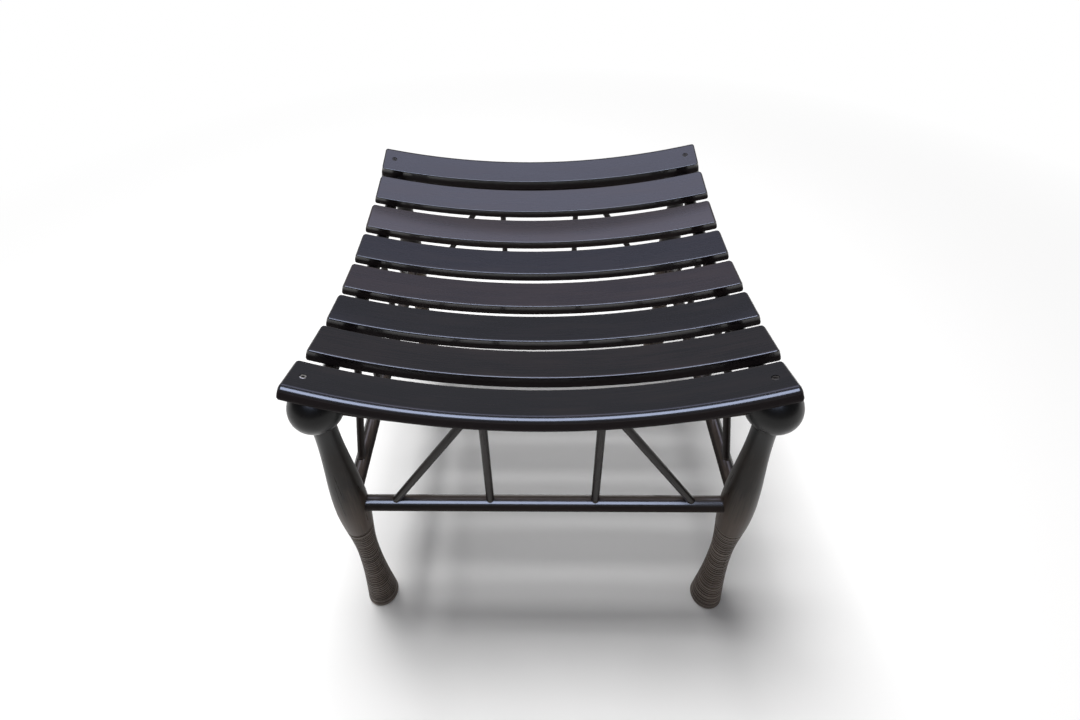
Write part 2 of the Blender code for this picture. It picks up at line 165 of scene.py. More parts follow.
def leg_profile(ball_height):
    """Radius and height of a leg from the top of its ball to the middle of its foot: an arc for the ball,
    a straight neck, cosine curves from neck to knee and knee to waist, and a quarter cosine for the flare."""
    ball = np.linspace(0, math.pi - math.asin(NECK_RADIUS / BALL_RADIUS), BALL_ROWS)
    neck_top = ball_height + BALL_RADIUS * math.cos(ball[-1])
    neck_foot = neck_top - NECK_LENGTH
    shaft = np.concatenate([
        np.linspace(neck_top, neck_foot, NECK_ROWS)[1:],
        np.linspace(neck_foot, RING_ROWS_TOP, KNEE_ROWS)[1:],
        np.linspace(RING_ROWS_TOP, FOOT_EDGE, RING_ROWS)[1:],
    ])
    to_knee = np.clip((neck_foot - shaft) / (neck_foot - KNEE_HEIGHT), 0, 1)
    to_waist = np.clip((KNEE_HEIGHT - shaft) / (KNEE_HEIGHT - WAIST_HEIGHT), 0, 1)
    to_foot = np.clip((WAIST_HEIGHT - shaft) / (WAIST_HEIGHT - FOOT_EDGE), 0, 1)
    radius = (
        NECK_RADIUS
        + (KNEE_RADIUS - NECK_RADIUS) * (1 - np.cos(math.pi * to_knee)) / 2
        + (WAIST_RADIUS - KNEE_RADIUS) * (1 - np.cos(math.pi * to_waist)) / 2
        + (FOOT_RADIUS - WAIST_RADIUS) * (1 - np.cos(math.pi / 2 * to_foot))
    )
    foot = np.linspace(0, math.pi / 2, FOOT_ROWS)[1:]
    foot_radius = FOOT_RADIUS - FOOT_EDGE + FOOT_EDGE * np.cos(foot)
    foot_height = FOOT_EDGE - FOOT_EDGE * np.sin(foot)
    radii = np.concatenate([BALL_RADIUS * np.sin(ball), radius, foot_radius, SOLE_ROWS * foot_radius[-1]])
    heights = np.concatenate([ball_height + BALL_RADIUS * np.cos(ball), shaft, foot_height, 0 * SOLE_ROWS])
    return radii, heights


def ring_cuts(heights, marks, strong):
    """How deep each height lies in a ring: bell-shaped grooves of the ring's width at the marks."""
    return (strong * np.exp(-(((heights[:, None] - marks) / RING_WIDTH) ** 2))).max(axis=1)


def faded_in(heights, amount, top, length):
    """0 above a height, rising evenly to an amount over a length below it."""
    return amount * np.clip((top - heights) / length, 0, 1)


def own_place():
    """A piece's own place in the block of wood, so that no two pieces have the same grain."""
    return chance.uniform(0, WOOD_BLOCK, 3)


def closed_skin(name, rings, grain=None, **looks):
    """A mesh over rings of points [ring, point, xyz]: quads between neighbouring rings, and a fan to the
    middle of the first and the last ring. The grain's own coordinates and the looks go with its corners."""
    count, sides = rings.shape[:2]
    number = np.arange(count * sides).reshape(count, sides)
    onward = np.roll(number, -1, axis=1)
    quads = np.stack([number[:-1], onward[:-1], onward[1:], number[1:]], axis=-1).reshape(-1, 4)
    first, last = count * sides, count * sides + 1
    start = np.stack([onward[0], number[0], np.full(sides, first)], axis=-1)
    end = np.stack([number[-1], onward[-1], np.full(sides, last)], axis=-1)

    def with_ends(values):
        return np.concatenate([values.reshape(count * sides, -1), values[:1].mean(1), values[-1:].mean(1)])

    points = with_ends(rings)
    loose = np.concatenate([start, end])
    fans = np.concatenate([quads[:, [0, 1, 2]], quads[:, [0, 2, 3]], loose])
    corner = points[fans]
    volume = np.einsum("ij,ij->i", corner[:, 0], np.cross(corner[:, 1], corner[:, 2])).sum()
    if volume < 0:
        quads, loose = quads[:, ::-1], loose[:, ::-1]
    mesh = bpy.data.meshes.new(name)
    mesh.from_pydata(points, [], quads.tolist() + loose.tolist())
    at_corner = np.empty(len(mesh.loops), int)
    mesh.loops.foreach_get("vertex_index", at_corner)
    if grain is not None:
        vectors = mesh.attributes.new("grain", "FLOAT_VECTOR", "CORNER").data
        vectors.foreach_set("vector", with_ends(grain)[at_corner].ravel())
    for look, values in looks.items():
        spread = np.broadcast_to(np.asarray(values, float), (count, sides))[..., None]
        numbers = mesh.attributes.new(look, "FLOAT", "CORNER").data
        numbers.foreach_set("value", with_ends(spread)[at_corner].ravel())
    mesh.shade_smooth()
    mesh.set_sharp_from_angle(angle=SHARP_ANGLE)
    return mesh


def cut_out(piece, cutter_mesh):
    """Takes the cutter out of a piece for good, and removes the cutter."""
    cutter = bpy.data.objects.new("cutter", cutter_mesh)
    bpy.context.scene.collection.objects.link(cutter)
    boolean = piece.modifiers.new("hole", "BOOLEAN")
    boolean.operation = "DIFFERENCE"
    boolean.solver = "EXACT"
    boolean.object = cutter
    bpy.context.view_layer.update()
    graph = bpy.context.evaluated_depsgraph_get()
    cut_mesh = bpy.data.meshes.new_from_object(piece.evaluated_get(graph))
    cut_mesh.set_sharp_from_angle(angle=SHARP_ANGLE)
    piece.modifiers.clear()
    old = piece.data
    piece.data = cut_mesh
    bpy.data.objects.remove(cutter)
    bpy.data.meshes.remove(old)
    bpy.data.meshes.remove(cutter_mesh)


def cut_notch(piece, seat):
    """Takes out of a leg or a rail the block of the end slat's width that stands on the slat's underside."""
    block = block_rings(2 * BALL_RADIUS, SLAT_WIDTH / 2 + FIT, -FIT, 2 * BALL_RADIUS)
    cut_out(piece, closed_skin("notch", placed(block, seat)))


class Wire:
    """An output in a material's nodes. Operators on values add Math nodes, node() adds any other node, and
    into() joins the output to a node's input."""

    def __init__(self, tree, socket=None):
        self.tree, self.socket = tree, socket

    def node(self, kind, settings, inputs, output=0):
        made = self.tree.nodes.new(kind)
        for key, value in settings.items():
            setattr(made, key, value)
        for key, value in inputs.items():
            if isinstance(value, Wire):
                value.into(made, key)
            else:
                made.inputs[key].default_value = value
        return Wire(self.tree, made.outputs[output])

    def into(self, node, key):
        self.tree.links.new(self.socket, node.inputs[key])

    def maths(self, operation, first, second):
        return self.node("ShaderNodeMath", {"operation": operation}, {0: first, 1: second})

    def __add__(self, other):
        return self.maths("ADD", self, other)

    def __sub__(self, other):
        return self.maths("SUBTRACT", self, other)

    def __rsub__(self, other):
        return self.maths("SUBTRACT", other, self)

    def __mul__(self, other):
        return self.maths("MULTIPLY", self, other)

    __radd__, __rmul__ = __add__, __mul__

    def clamped(self):
        return self.node("ShaderNodeClamp", {}, {"Value": self})

    def mixed(self, factor, low, high):
        return self.node("ShaderNodeMix", {"data_type": "RGBA"}, {0: factor, 6: low, 7: high}, output=2)

    def look(self, name):
        return self.node("ShaderNodeAttribute", {"attribute_name": name}, {}, output=2)


def new_finish(name):
    """A new material, its shader, and a wire that adds to its nodes."""
    made = bpy.data.materials.new(name)
    made.use_nodes = True
    return made, made.node_tree.nodes["Principled BSDF"], Wire(made.node_tree)


def ebonised_wood(name, stain, brown, worn, figure, dullness, coat, bump, lustre):
    """Black-stained wood under lacquer. Streaks along the grain bring out the brown, edges, cuts and a few
    specks are worn lighter, patches change the gloss and the relief, and dull parts have no lacquer."""
    made, shader, wire = new_finish(name)
    bare = wire.tree.nodes.new("ShaderNodeBsdfPrincipled")
    grain = wire.node("ShaderNodeAttribute", {"attribute_name": "grain"}, {}, output=1)
    wear, brownness, dull = wire.look("wear"), wire.look("brown"), wire.look("dull")

    def grain_noise(along, across, detail):
        stretched = wire.node(
            "ShaderNodeVectorMath", {"operation": "MULTIPLY"}, {0: grain, 1: (along, across, across)}
        )
        return wire.node("ShaderNodeTexNoise", {}, {"Vector": stretched, "Scale": 1.0, "Detail": detail})

    streaks, pores, patches = grain_noise(*STREAKS), grain_noise(*PORES), grain_noise(*PATCHES)
    cells = wire.node("ShaderNodeTexVoronoi", {}, {"Vector": grain, "Scale": SPECK_CELLS})
    speckled = ((patches - SPECK_PATCH) * SPECK_PATCH_SHARPNESS).clamped()
    specks = ((SPECK_SIZE - cells) * SPECK_SHARPNESS).clamped() * speckled
    streaked, patched = streaks - NOISE_MIDDLE, patches - NOISE_MIDDLE
    tone = ((streaked + patched) * figure + brownness).clamped()
    rubbed = wear * (WEAR_BASE + WEAR_PORES * pores) * (WEAR_BASE + patches)
    rubbed = (rubbed + specks * SPECK_WEAR).clamped()
    colour = wire.mixed(tone, (*stain, 1), (*brown, 1))
    colour = wire.mixed(rubbed, colour, (*worn, 1))
    rough = dullness + streaked * ROUGH_STREAKS + patched * ROUGH_PATCHES + rubbed * ROUGH_WEAR
    relief = streaks * RELIEF_STREAKS + pores * RELIEF_PORES + patches * RELIEF_PATCHES
    normal = wire.node(
        "ShaderNodeBump", {}, {"Strength": bump, "Distance": RELIEF_HEIGHT, "Height": relief}
    )
    colour.into(shader, "Base Color")
    rough.into(shader, "Roughness")
    normal.into(shader, "Normal")
    shader.inputs["IOR"].default_value = lustre
    shader.inputs["Coat Weight"].default_value = coat
    shader.inputs["Coat Roughness"].default_value = LACQUER_ROUGHNESS
    wire.mixed(tone * BARE_TONE + BARE_TONE_BASE, (*stain, 1), (*brown, 1)).into(bare, "Base Color")
    (rough * BARE_ROUGH + BARE_ROUGH_BASE).into(bare, "Roughness")
    normal.into(bare, "Normal")
    bare.inputs["IOR"].default_value = BARE_LUSTRE
    lacquered, unlacquered = (Wire(wire.tree, kind.outputs[0]) for kind in (shader, bare))
    both = wire.node("ShaderNodeMixShader", {}, {0: dull, 1: lacquered, 2: unlacquered})
    both.into(wire.tree.nodes["Material Output"], "Surface")
    return made


def fitted(name, mesh, finish, node):
    """The piece stands where its CAD node is, with its finish, and rides on the stool's one body."""
    piece = bpy.data.objects.new(name, mesh)
    mesh.materials.append(finish)
    bpy.context.scene.collection.objects.link(piece)
    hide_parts(node)
    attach(piece, "root")
    return piece


leg_wood = ebonised_wood(
    "dulled_leg_wood", LEG_STAIN, LEG_BROWN, LEG_WORN,
    figure=0.9, dullness=0.30, coat=0.0, bump=0.12, lustre=1.34,
)
around = round_turn(LEG_SIDES)
for corner_name, side_x, side_y in CORNERS:
    corner = np.array([side_x * LEG_SPREAD, side_y * LEG_SPREAD, 0.0])
    seat = slat_under(corner[0], corner[1])
    upward = np.array(seat.col[2][:3])
    ball_height = (upward @ (np.array(seat.translation) - corner) - FIT - BALL_SEAT) / upward[2]
    radii, heights = leg_profile(ball_height)
    marks = np.linspace(RING_TOP, RING_FOOT, RING_COUNT)
    marks = marks + chance.uniform(-RING_STRAY, RING_STRAY, RING_COUNT)
    cuts = ring_cuts(heights, marks, chance.uniform(*RING_CUT, RING_COUNT))
    rubbed_edges = ring_cuts(heights, marks + RING_EDGE, chance.uniform(*RING_RUB, RING_COUNT))
    radii = (radii - RING_DEPTH * cuts)[:, None]
    levels = np.broadcast_to(heights[:, None], (len(heights), LEG_SIDES))
    turned = np.stack([radii * np.cos(around), radii * np.sin(around), levels], axis=-1)
    scuffed = np.exp(-heights / FOOT_SCUFF)
    leg_wear = np.maximum(LEG_RUB.get(corner_name, 1.0) * rubbed_edges, scuffed)
    bared = faded_in(heights, *BROWN_NECK) + faded_in(heights, *BROWN_KNEE)
    leg_brown = bared - STAIN_DARKNESS - CUT_DARKNESS * cuts
    leg_dull = faded_in(heights, *DULL_SHAFT)
    leg_mesh = closed_skin(
        f"turned_leg_{corner_name}", turned + corner, turned[..., [2, 0, 1]] + own_place(),
        wear=leg_wear[:, None], brown=leg_brown[:, None], dull=leg_dull[:, None],
    )
    leg = fitted(f"turned_leg_{corner_name}", leg_mesh, leg_wood, f"leg_{corner_name}")
    cut_notch(leg, seat)

# ---- Stretchers ----
# Four straight round rods of polished black wood, glued into holes in the legs' knees, one on each side
# of the frame and all at one height.
STRETCHER_RADIUS = 0.0078
ROD_SIDES = 32
ROD_ROWS = 120
SOCKET_WALL = 0.004
STRETCHER_REACH = LEG_SPREAD - STRETCHER_RADIUS - SOCKET_WALL
ROD_STAIN = (0.0075, 0.0066, 0.0068)
ROD_BROWN = (0.032, 0.020, 0.016)
ROD_WORN = (0.12, 0.095, 0.08)
ROD_BROWNNESS = 0.2
# The share of a lying rod's half height under which the lacquer ends, and over what share it goes
ROD_LACQUER, ROD_LACQUER_FADE = 0.78, 0.25
# Dust and painted light along a rod's top, which stand in part for light that the seat keeps off: its lean,
# the cosine of the angle from there at which it ends, how it fades, and how much it lightens the top
DUST_AND_LIGHT_LEAN = math.radians(22)
DUST_AND_LIGHT_END, DUST_AND_LIGHT_FADE = 0.76, 0.15
DUST_AND_LIGHT = 0.8
# Each side of the frame, its quarter turn from the front, and the names of its two ends
SIDES = (
    ("front", 0, ("left", "right")), ("right", 1, ("front", "rear")),
    ("rear", 2, ("right", "left")), ("left", 3, ("rear", "front")),
)


def quarter_turn(quarter):
    """Carries what stands at the frame's front to another of its sides."""
    return Matrix.Rotation(quarter * math.pi / 2, 4, "Z")


def front_path(along, height):
    """The axis of a rod in the plane of the frame's front, from places along it and their height."""
    return np.stack(np.broadcast_arrays(along, -LEG_SPREAD, height), axis=-1)


def rod_rings(path, radii, sides):
    """A circle of each radius square to the path, which lies in the plane of the frame's front."""
    onward = np.gradient(path, axis=0)
    onward /= np.linalg.norm(onward, axis=1, keepdims=True)
    flat = np.broadcast_to(np.array([0.0, 1.0, 0.0]), path.shape)
    upward = np.cross(onward, flat)
    turn = round_turn(sides)[:, None]
    sweep = upward[:, None] * np.cos(turn) + flat[:, None] * np.sin(turn)
    return path[:, None] + radii[:, None, None] * sweep


def dull_below(rings):
    """0 on the lacquered upper side of a lying rod and 1 below, from the height over the ring's middle."""
    height = rings[..., 2] - rings[..., 2].mean(axis=1, keepdims=True)
    return np.clip((ROD_LACQUER - height / height.max(axis=1, keepdims=True)) / ROD_LACQUER_FADE, 0, 1)


def dust_and_light_top(sides):
    """Dust and painted light along the top of a lying rod: 1 near a line that leans a little inwards, and 0
    from about 40 degrees off it, by the cosine of the angle between."""
    return np.clip((np.cos(round_turn(sides) - DUST_AND_LIGHT_LEAN) - DUST_AND_LIGHT_END) / DUST_AND_LIGHT_FADE, 0, 1)


def rod_grain(path, radii, sides):
    """Distance along the rod, and the place across it, moved to a part of the wood of its own."""
    along = np.concatenate([[0], np.linalg.norm(np.diff(path, axis=0), axis=1).cumsum()])
    turn = round_turn(sides)
    across = radii[:, None] * np.cos(turn), radii[:, None] * np.sin(turn)
    grain = np.stack([np.broadcast_to(along[:, None], across[0].shape), *across], axis=-1)
    return grain + own_place()


rod_wood = ebonised_wood(
    "polished_rod_wood", ROD_STAIN, ROD_BROWN, ROD_WORN,
    figure=0.6, dullness=0.26, coat=0.9, bump=0.03, lustre=1.45,
)
along_rod = np.linspace(-STRETCHER_REACH, STRETCHER_REACH, ROD_ROWS)
for side_name, quarter, _ in SIDES:
    path = front_path(along_rod, KNEE_HEIGHT)
    radii = np.full(ROD_ROWS, STRETCHER_RADIUS)
    rings = placed(rod_rings(path, radii, ROD_SIDES), quarter_turn(quarter))
    # Each stretcher's top is painted lighter: dust, and painted light in place of light that the seat keeps
    # off
    rod_mesh = closed_skin(
        f"round_stretcher_{side_name}", rings, rod_grain(path, radii, ROD_SIDES),
        wear=DUST_AND_LIGHT * dust_and_light_top(ROD_SIDES), brown=ROD_BROWNNESS, dull=dull_below(rings),
    )
    fitted(f"round_stretcher_{side_name}", rod_mesh, rod_wood, f"stretcher_{side_name}")

# ---- Seat rails ----
# Four round rods bent to the dish of the seat, with their ends in the legs' balls. The side rails carry
# the inner slats, and the front and rear rails run just under the end slats.
RAIL_RADIUS = 0.0074
RAIL_GAP = 0.0018
RAIL_REACH = LEG_SPREAD - RAIL_RADIUS - SOCKET_WALL
SIDE_UNDER = DISH_RADIUS - slat_surface(0.0, LEG_SPREAD, SLAT_THICKNESS).translation.z + SEAT_HEIGHT
SIDE_SLOPE = math.asin(LEG_SPREAD / (SLAT_RADIUS + SLAT_THICKNESS))
SIDE_ARC = math.hypot(SIDE_UNDER, SLAT_WIDTH / 2) + (RAIL_RADIUS + FIT) / math.cos(SIDE_SLOPE)


def end_rail_height(along):
    """Height of the front and rear rails' axis: the end slat's underside over the rail, less the rail's
    radius and a hair's gap measured square to that sloping surface."""
    bend = SLAT_RADIUS + END_SLAT_THICKNESS
    bow = SLAT_RADIUS - np.sqrt(bend**2 - along**2)
    slope = along / np.sqrt(bend**2 - along**2) / math.cos(END_ANGLE)
    middle = slat_frame(END_ANGLE).translation
    under = middle.z + (LEG_SPREAD - middle.y) * math.tan(END_ANGLE) + bow / math.cos(END_ANGLE)
    return under - (RAIL_RADIUS + RAIL_GAP) * np.sqrt(1 + slope**2 + math.tan(END_ANGLE) ** 2)


def side_rail_height(along):
    """Height of the side rails' axis: an arc about the dish's centre under the slats' lower edges."""
    return SEAT_HEIGHT + DISH_RADIUS - np.sqrt(SIDE_ARC**2 - along**2)


RAIL_HEIGHTS = {
    "front": end_rail_height, "rear": end_rail_height, "left": side_rail_height, "right": side_rail_height,
}
rails = {}
along_rail = np.linspace(-RAIL_REACH, RAIL_REACH, ROD_ROWS)
for side_name, quarter, _ in SIDES:
    path = front_path(along_rail, RAIL_HEIGHTS[side_name](along_rail))
    radii = np.full(ROD_ROWS, RAIL_RADIUS)
    rings = placed(rod_rings(path, radii, ROD_SIDES), quarter_turn(quarter))
    rail_mesh = closed_skin(
        f"dished_rail_{side_name}", rings, rod_grain(path, radii, ROD_SIDES),
        brown=ROD_BROWNNESS, dull=dull_below(rings),
    )
    rails[side_name] = fitted(
        f"dished_rail_{side_name}", rail_mesh, rod_wood, f"seat_rail_{side_name}"
    )
for side_name, side_x in (("right", 1), ("left", -1)):
    for side_y in (-1, 1):
        cut_notch(rails[side_name], slat_under(side_x * LEG_SPREAD, side_y * LEG_SPREAD))

# ---- Struts ----
# On each side two thin uprights and two slanting braces stand between stretcher and rail. They are turned
# from the same wood, and each foot and head has a fine bead where it enters, painted lighter as a highlight.
STRUT_RADIUS = 0.0039
STRUT_TENON = 0.005
STRUT_SIDES = 24
STRUT_ROWS = 140
STRUT_STAIN = (0.0085, 0.0075, 0.0073)
STRUT_DULL = 0.6
BEAD_HEIGHT = 0.00035
BEAD_LENGTH = 0.0008
# Where a strut's foot and head stand, as shares of the way from the middle of a side to a leg
STRUT_PLACES = {"upright": (0.27, 0.27), "brace": (0.779, 0.342)}


def bead_swell(distance):
    """A bell-shaped swelling, highest at a bead's length from where a strut enters."""
    return np.exp(-(((distance - BEAD_LENGTH) / BEAD_LENGTH) ** 2))


strut_wood = ebonised_wood(
    "satin_strut_wood", STRUT_STAIN, ROD_BROWN, ROD_WORN,
    figure=0.6, dullness=0.28, coat=0.2, bump=0.05, lustre=1.45,
)
for side_name, quarter, ends in SIDES:
    for end_name, sign in zip(ends, (-1, 1)):
        for kind, (foot_share, head_share) in STRUT_PLACES.items():
            head_x = head_share * LEG_SPREAD
            foot = np.array([sign * foot_share * LEG_SPREAD, -LEG_SPREAD, KNEE_HEIGHT])
            head = np.array([sign * head_x, -LEG_SPREAD, RAIL_HEIGHTS[side_name](head_x)])
            length = np.linalg.norm(head - foot)
            steps = np.linspace(
                STRETCHER_RADIUS - STRUT_TENON, length - RAIL_RADIUS + STRUT_TENON, STRUT_ROWS
            )
            bead_and_highlight = bead_swell(steps - STRETCHER_RADIUS) + bead_swell(length - steps - RAIL_RADIUS)
            path = foot + steps[:, None] * (head - foot) / length
            radii = STRUT_RADIUS + BEAD_HEIGHT * bead_and_highlight
            rings = placed(rod_rings(path, radii, STRUT_SIDES), quarter_turn(quarter))
            strut_name = f"{kind}_{side_name}_{end_name}"
            # The wear on each bead is a painted highlight: a light ring where the strut enters
            strut_mesh = closed_skin(
                f"turned_{strut_name}", rings, rod_grain(path, radii, STRUT_SIDES),
                wear=bead_and_highlight[:, None], brown=ROD_BROWNNESS, dull=STRUT_DULL,
            )
            fitted(f"turned_{strut_name}", strut_mesh, strut_wood, strut_name)

# ---- Slats ----
# Eight boards bent along their length and laid side by side on the dish, lacquered black on top and dull
# below. They have a fine arris, rounded ends and two rounded corners, and the end slats a round nose.
SLAT_COUNT = 8
SLAT_CORNER = 0.004
SLAT_ARRIS = 0.0013
LEAST_ARRIS = SLAT_ARRIS / 4
SLAT_END = 0.003
NOSE_RADIUS = 0.0055
# How far slats lie off centre along their bend, and how far askew, in radians
SLAT_SHIFTS = {1: -0.0042, 2: -0.0012, 7: 0.001}
SLAT_SKEWS = {2: -0.0055}
# Blue-black stain, made bluer as a painted reflection: it stands in for the blue light that the lacquer
# reflects
SLAT_STAIN_AND_BLUE_SHEEN = (0.0046, 0.0047, 0.0072)
SLAT_BROWN = (0.030, 0.019, 0.017)
SLAT_WORN = (0.10, 0.075, 0.062)
SLAT_BROWNNESS = (0.0, 0.10, 0.0, 0.36, 0.0, 0.45, 0.12, 0.0)
# How worn an edge is, and over what distance the wear falls off
SLAT_WEAR, SLAT_WEAR_REACH = 0.35, 0.0007
# How deep under the top the lacquer ends: on an inner edge, and on a nose
LACQUER_DEPTH, NOSE_LACQUER = 0.0018, 0.0026
# Rows of points along half a slat and round its corner, and points round a nose and round an arris
STRAIGHT_ROWS, CORNER_ROWS = 50, 15
NOSE_POINTS, ARRIS_POINTS = 9, 6
# Points across a face and down an edge, as shares of the way, with some close to the rounded edges
FACE_POINTS = np.concatenate([[0.012], np.linspace(0.06, 0.94, 14), [0.988]])
EDGE_POINTS = np.array([0.06, 0.5, 0.94])
# A slat's end face has one more row of points, at this share of its outline
END_ROW = 0.9


def slat_columns():
    """Places along a slat, close together where the corners and the end arrises turn."""
    turn = np.linspace(0, math.pi / 2, CORNER_ROWS)[1:]
    corner = SLAT_LENGTH / 2 - SLAT_CORNER + SLAT_CORNER * np.sin(turn)
    straight = np.linspace(0, SLAT_LENGTH / 2 - SLAT_CORNER, STRAIGHT_ROWS)
    half = np.concatenate([straight, corner])
    return np.concatenate([-half[:0:-1], half])


def end_rounding(columns, radius):
    """How far a quarter circle of a radius at a slat's ends lies inside its straight outline."""
    over = np.clip(np.abs(columns) - (SLAT_LENGTH / 2 - radius), 0, radius)
    return radius - np.sqrt(radius**2 - over**2)


def slat_section(columns, thickness, nose):
    """The board before it is bent, as loops [column, point, (along, across, depth)]. A loop goes round four
    rounded edges, and near the ends it shrinks by their rounding and loses the rear corner's circle."""
    shrink = end_rounding(columns, SLAT_END)
    front = -SLAT_WIDTH / 2 + shrink
    rear = SLAT_WIDTH / 2 - end_rounding(columns, SLAT_CORNER) - shrink
    top, bottom = shrink, thickness - shrink
    front_radius = np.maximum((NOSE_RADIUS if nose else SLAT_ARRIS) - shrink, LEAST_ARRIS)
    rear_radius = np.maximum(SLAT_ARRIS - shrink, LEAST_ARRIS)
    arc = np.linspace(0, math.pi / 2, NOSE_POINTS if nose else ARRIS_POINTS)
    bow_in, bow_out = 1 - np.cos(arc), 1 - np.sin(arc)

    def col(values):
        return values[:, None]

    front_flat, rear_flat = front + front_radius, rear - rear_radius
    across = [
        col(front_flat) + col(rear_flat - front_flat) * FACE_POINTS,
        col(rear) - col(rear_radius) * bow_out,
        col(rear) + 0 * EDGE_POINTS,
        col(rear) - col(rear_radius) * bow_in,
        col(rear_flat) + col(front_flat - rear_flat) * FACE_POINTS,
        col(front) + col(front_radius) * bow_out,
        col(front) + 0 * EDGE_POINTS,
        col(front) + col(front_radius) * bow_in,
    ]
    rear_wall = bottom - top - 2 * rear_radius
    front_wall = bottom - top - 2 * front_radius
    depth = [
        col(top) + 0 * FACE_POINTS,
        col(top) + col(rear_radius) * bow_in,
        col(top + rear_radius) + col(rear_wall) * EDGE_POINTS,
        col(bottom) - col(rear_radius) * bow_out,
        col(bottom) + 0 * FACE_POINTS,
        col(bottom) - col(front_radius) * bow_in,
        col(bottom - front_radius) - col(front_wall) * EDGE_POINTS,
        col(top) + col(front_radius) * bow_out,
    ]
    across, depth = np.concatenate(across, axis=1), np.concatenate(depth, axis=1)
    return np.stack([np.broadcast_to(columns[:, None], across.shape), across, depth], axis=-1)


def bent(board):
    """Bends a board round an axis across it: depth adds to the radius, and the length lies on the arc."""
    along, across, depth = board[..., 0], board[..., 1], board[..., 2]
    radius = SLAT_RADIUS + depth
    sine = along / SLAT_RADIUS
    return np.stack([radius * sine, across, SLAT_RADIUS - radius * np.sqrt(1 - sine**2)], axis=-1)


def arris_wear(board, thickness):
    """1 at an edge, falling off within a millimetre: the second smallest of the distances to the ends, to
    the long sides and to top and bottom, because two of them are small at an edge."""
    to_end = SLAT_LENGTH / 2 - np.abs(board[..., 0])
    to_side = SLAT_WIDTH / 2 - np.abs(board[..., 1])
    to_face = np.minimum(board[..., 2], thickness - board[..., 2])
    second = np.sort(np.stack([to_end, to_side, to_face]), axis=0)[1]
    return np.exp(-np.maximum(second, 0) / SLAT_WEAR_REACH)


def slat_angle(number):
    """Where a slat lies on the dish, from the front one's angle to the rear one's in equal steps."""
    return END_ANGLE * (2 * (number - 1) / (SLAT_COUNT - 1) - 1)


def slat_place(number):
    """Placing of a slat, which may slide along its bend and lie askew about its right end."""
    axis = Matrix.Translation((0, 0, SLAT_RADIUS))
    slide = Matrix.Rotation(-SLAT_SHIFTS.get(number, 0.0) / SLAT_RADIUS, 4, "Y")
    right = Matrix.Translation((SLAT_LENGTH / 2, 0, 0))
    skew = right @ Matrix.Rotation(SLAT_SKEWS.get(number, 0.0), 4, "Z") @ right.inverted()
    turned_round = Matrix.Rotation(math.pi if number == SLAT_COUNT else 0.0, 4, "Z")
    return slat_frame(slat_angle(number)) @ axis @ slide @ axis.inverted() @ skew @ turned_round


slat_wood = ebonised_wood(
    "lacquered_slat_wood", SLAT_STAIN_AND_BLUE_SHEEN, SLAT_BROWN, SLAT_WORN,
    figure=0.5, dullness=0.28, coat=1.0, bump=0.025, lustre=1.45,
)
slats = {}
for number in range(1, SLAT_COUNT + 1):
    is_end = number in (1, SLAT_COUNT)
    thickness = END_SLAT_THICKNESS if is_end else SLAT_THICKNESS
    board = slat_section(slat_columns(), thickness, is_end)
    middle = board[[0, -1]].mean(axis=1, keepdims=True)
    inside = middle + END_ROW * (board[[0, -1]] - middle)
    board = np.concatenate([inside[:1], board, inside[1:]])
    rings = placed(bent(board), slat_place(number))
    lacquered = np.where((board[..., 1] < 0) & is_end, NOSE_LACQUER, LACQUER_DEPTH)
    dull = np.clip((board[..., 2] - lacquered) / lacquered, 0, 1)
    slat_mesh = closed_skin(
        f"bent_slat_{number}", rings, board + own_place(),
        wear=SLAT_WEAR * arris_wear(board, thickness), brown=SLAT_BROWNNESS[number - 1], dull=dull,
    )
    slats[number] = fitted(f"bent_slat_{number}", slat_mesh, slat_wood, f"slat_{number}")

# ---- Screws ----
# Countersunk steel screws with a single slot, darkened with age. Four go down through the end slats into
# the balls, and twelve come up through the side rails into the inner slats, so those stay out of sight.
HEAD_RADIUS = 0.003
HEAD_DEPTH = 0.0018
HEAD_RIM = 0.00045
HEAD_MIDDLE = 0.4
SHANK_RADIUS = 0.0016
SCREW_POINT = 0.003
TIP_RADIUS = 0.0003
SCREW_RECESS = 0.0003
SLOT_WIDTH = 0.0007
SLOT_DEPTH = 0.0008
SLOT_REACH = 1.2 * HEAD_RADIUS
HOLE_STAND_OUT = 0.002
SCREW_SHIFT = 0.007
SCREW_OUTSET = 0.0011
SLAT_BITE = 0.0055
BALL_BITE = 0.014
SCREW_SIDES = 32
STEEL = (0.62, 0.60, 0.58)
OLD_BLACK = (0.010, 0.0085, 0.008)
# How often patches and specks of the old black repeat in a metre and their detail, and what they do
STEEL_PATCHES, STEEL_SPECKS = (900.0, 4.0), (5200.0, 2.0)
STEEL_WEAR_BASE, STEEL_WEAR_PATCHES = 0.55, 0.7
STEEL_SPECK_LEVEL, STEEL_SPECK_WEAR = 0.55, 0.25
STEEL_ROUGHNESS, STEEL_POLISH = 0.33, 0.1
STEEL_BUMP, STEEL_BUMP_HEIGHT = 0.15, 0.0002
# Which of a screw's circles are its rim. Only the screw at the front left has its rim rubbed bright; the
# others have stayed black.
RIM_CIRCLES = np.array([0, 1, 1, 0, 0, 0, 0])
RIM_SHINE = {"end_slat_screw_front_left": 1.0}
BLACK_SHINE = 0.06


def screw_rings(length, grown=0.0, stand_out=0.0):
    """A countersunk screw under its face at height 0, as circles of the outline's radii. A hole is grown."""
    head, shank = HEAD_RADIUS + grown, SHANK_RADIUS + grown
    radii = np.array([HEAD_MIDDLE * head, head - HEAD_RIM, head, head, shank, shank, TIP_RADIUS])
    heights = np.array([
        stand_out, stand_out, stand_out - HEAD_RIM / 2, -SCREW_RECESS - grown, -HEAD_DEPTH - grown,
        SCREW_POINT - length, -length - grown,
    ])
    turn = round_turn(SCREW_SIDES)
    circle = np.stack([np.cos(turn), np.sin(turn), 0 * turn], axis=-1)
    return radii[:, None, None] * circle + heights[:, None, None] * np.array([0.0, 0.0, 1.0])


